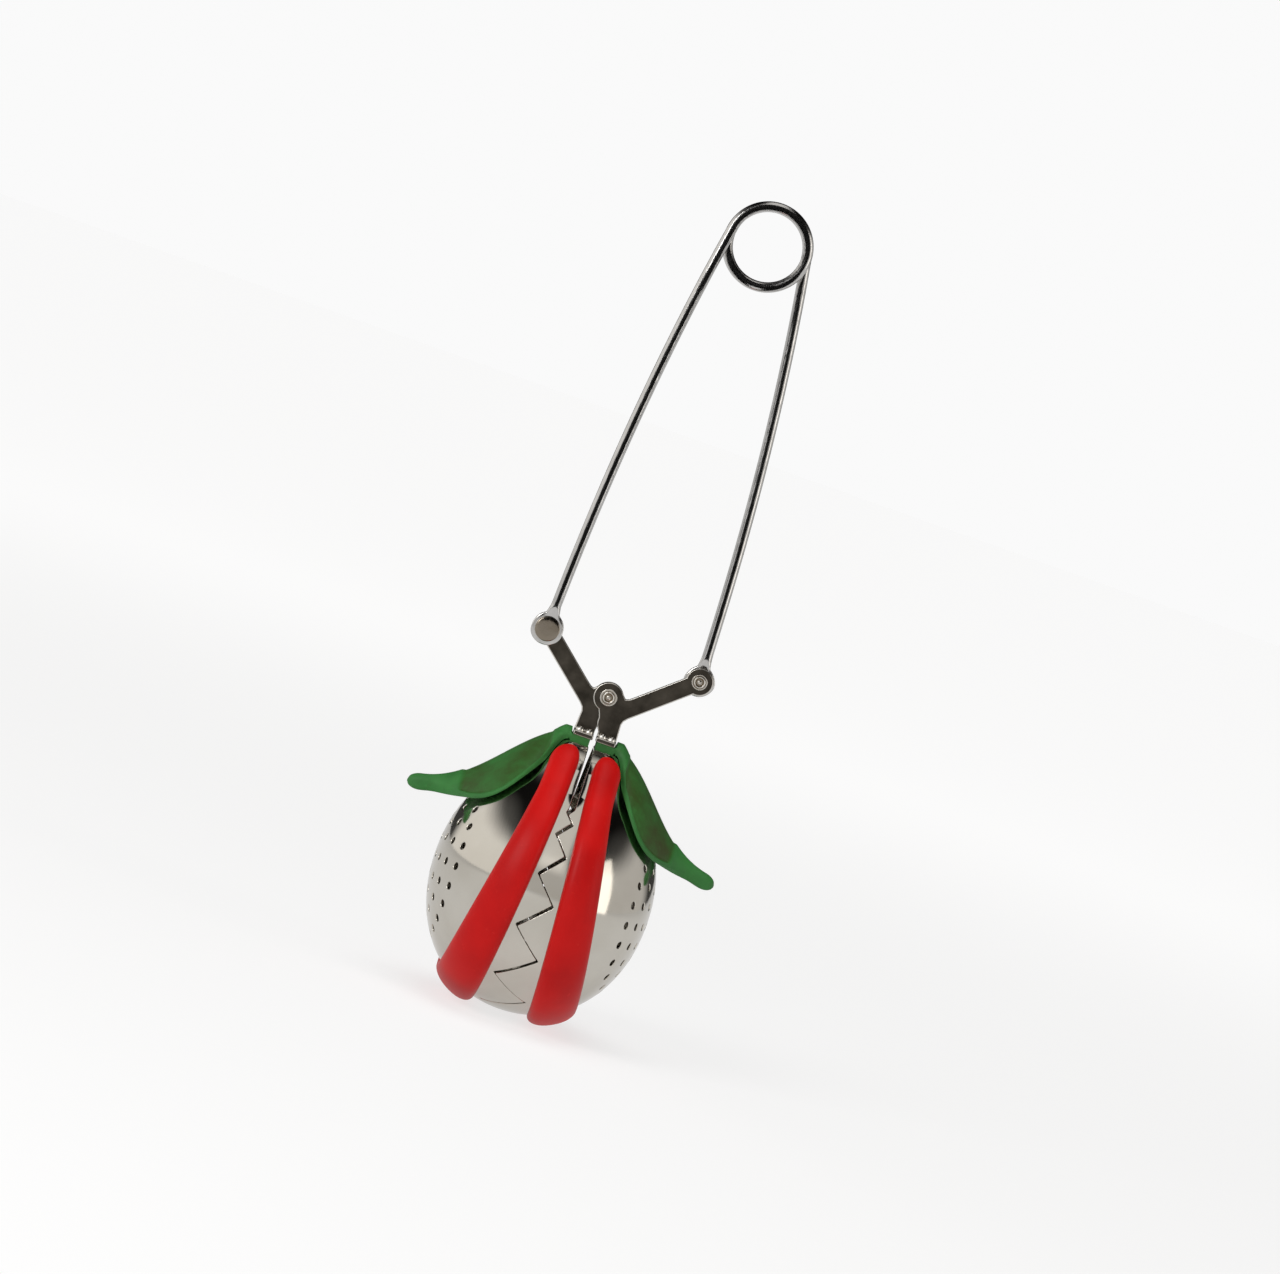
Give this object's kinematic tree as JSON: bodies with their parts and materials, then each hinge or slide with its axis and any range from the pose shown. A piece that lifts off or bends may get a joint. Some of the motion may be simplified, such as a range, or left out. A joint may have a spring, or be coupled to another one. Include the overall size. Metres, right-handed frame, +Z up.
{
  "type": "tea infuser",
  "caption": "Pincer tea infuser: a sprung wire handle opens a perforated steel ball with zigzag teeth, soft lips round its rims and a leaf on each shoulder.",
  "frame": {"origin": "centre of the handle's loop, on the axis of the coiled wire", "axes": "+Z up along the handle, away from the ball; +X to the right, the way the right jaw opens; the rivets and the loop turn about Y, and -Y is the front"},
  "size_m": [0.0648, 0.0546, 0.1707],
  "materials": {
    "wire": "polished spring wire",
    "plate": "satin stamped plate",
    "rivet": "bright rolled heads",
    "shell": "mirror polished stainless sheet",
    "lip": "smooth glossy silicone",
    "leaf": "matte silicone"
  },
  "bodies": {
    "handle": {"handle_coil": "wire"},
    "left_leg": {"left_leg": "wire", "left_pivot_rivet": "rivet"},
    "right_leg": {"right_leg": "wire", "right_pivot_rivet": "rivet"},
    "left_jaw": {"left_arm": "plate", "left_foot_rivet_inner": "rivet", "left_foot_rivet_outer": "rivet", "left_shell": "shell", "left_lip": "lip", "left_leaf": "leaf", "centre_pivot_rivet": "rivet"},
    "right_jaw": {"right_arm": "plate", "right_foot_rivet_inner": "rivet", "right_foot_rivet_outer": "rivet", "right_shell": "shell", "right_lip": "lip", "right_leaf": "leaf"}
  },
  "joints": [
    {"name": "left_leg_squeeze", "type": "hinge", "parent": "handle", "child": "left_leg", "pos_m": [0, 0, 0], "axis": [0, -1, 0], "range_deg": [0, 2.8], "stiffness_Nm_per_rad": 12, "springref_deg": -0.57},
    {"name": "right_leg_squeeze", "type": "hinge", "parent": "handle", "child": "right_leg", "pos_m": [0, 0, 0], "axis": [0, 1, 0], "range_deg": [0, 2.8], "stiffness_Nm_per_rad": 12, "springref_deg": -0.57},
    {"name": "left_jaw_open", "type": "hinge", "parent": "left_leg", "child": "left_jaw", "pos_m": [-0.01607, 0, -0.086], "axis": [0, 1, 0], "range_deg": [0, 24.4]},
    {"name": "right_jaw_open", "type": "hinge", "parent": "right_leg", "child": "right_jaw", "pos_m": [0.01607, 0, -0.086], "axis": [0, -1, 0], "range_deg": [0, 24.4]}
  ],
  "couplings": [
    {"joint": "right_leg_squeeze", "follows": "left_leg_squeeze", "ratio": 1},
    {"joint": "left_jaw_open", "follows": "left_leg_squeeze", "ratio": 8.7},
    {"joint": "right_jaw_open", "follows": "left_leg_squeeze", "ratio": 8.7}
  ]
}
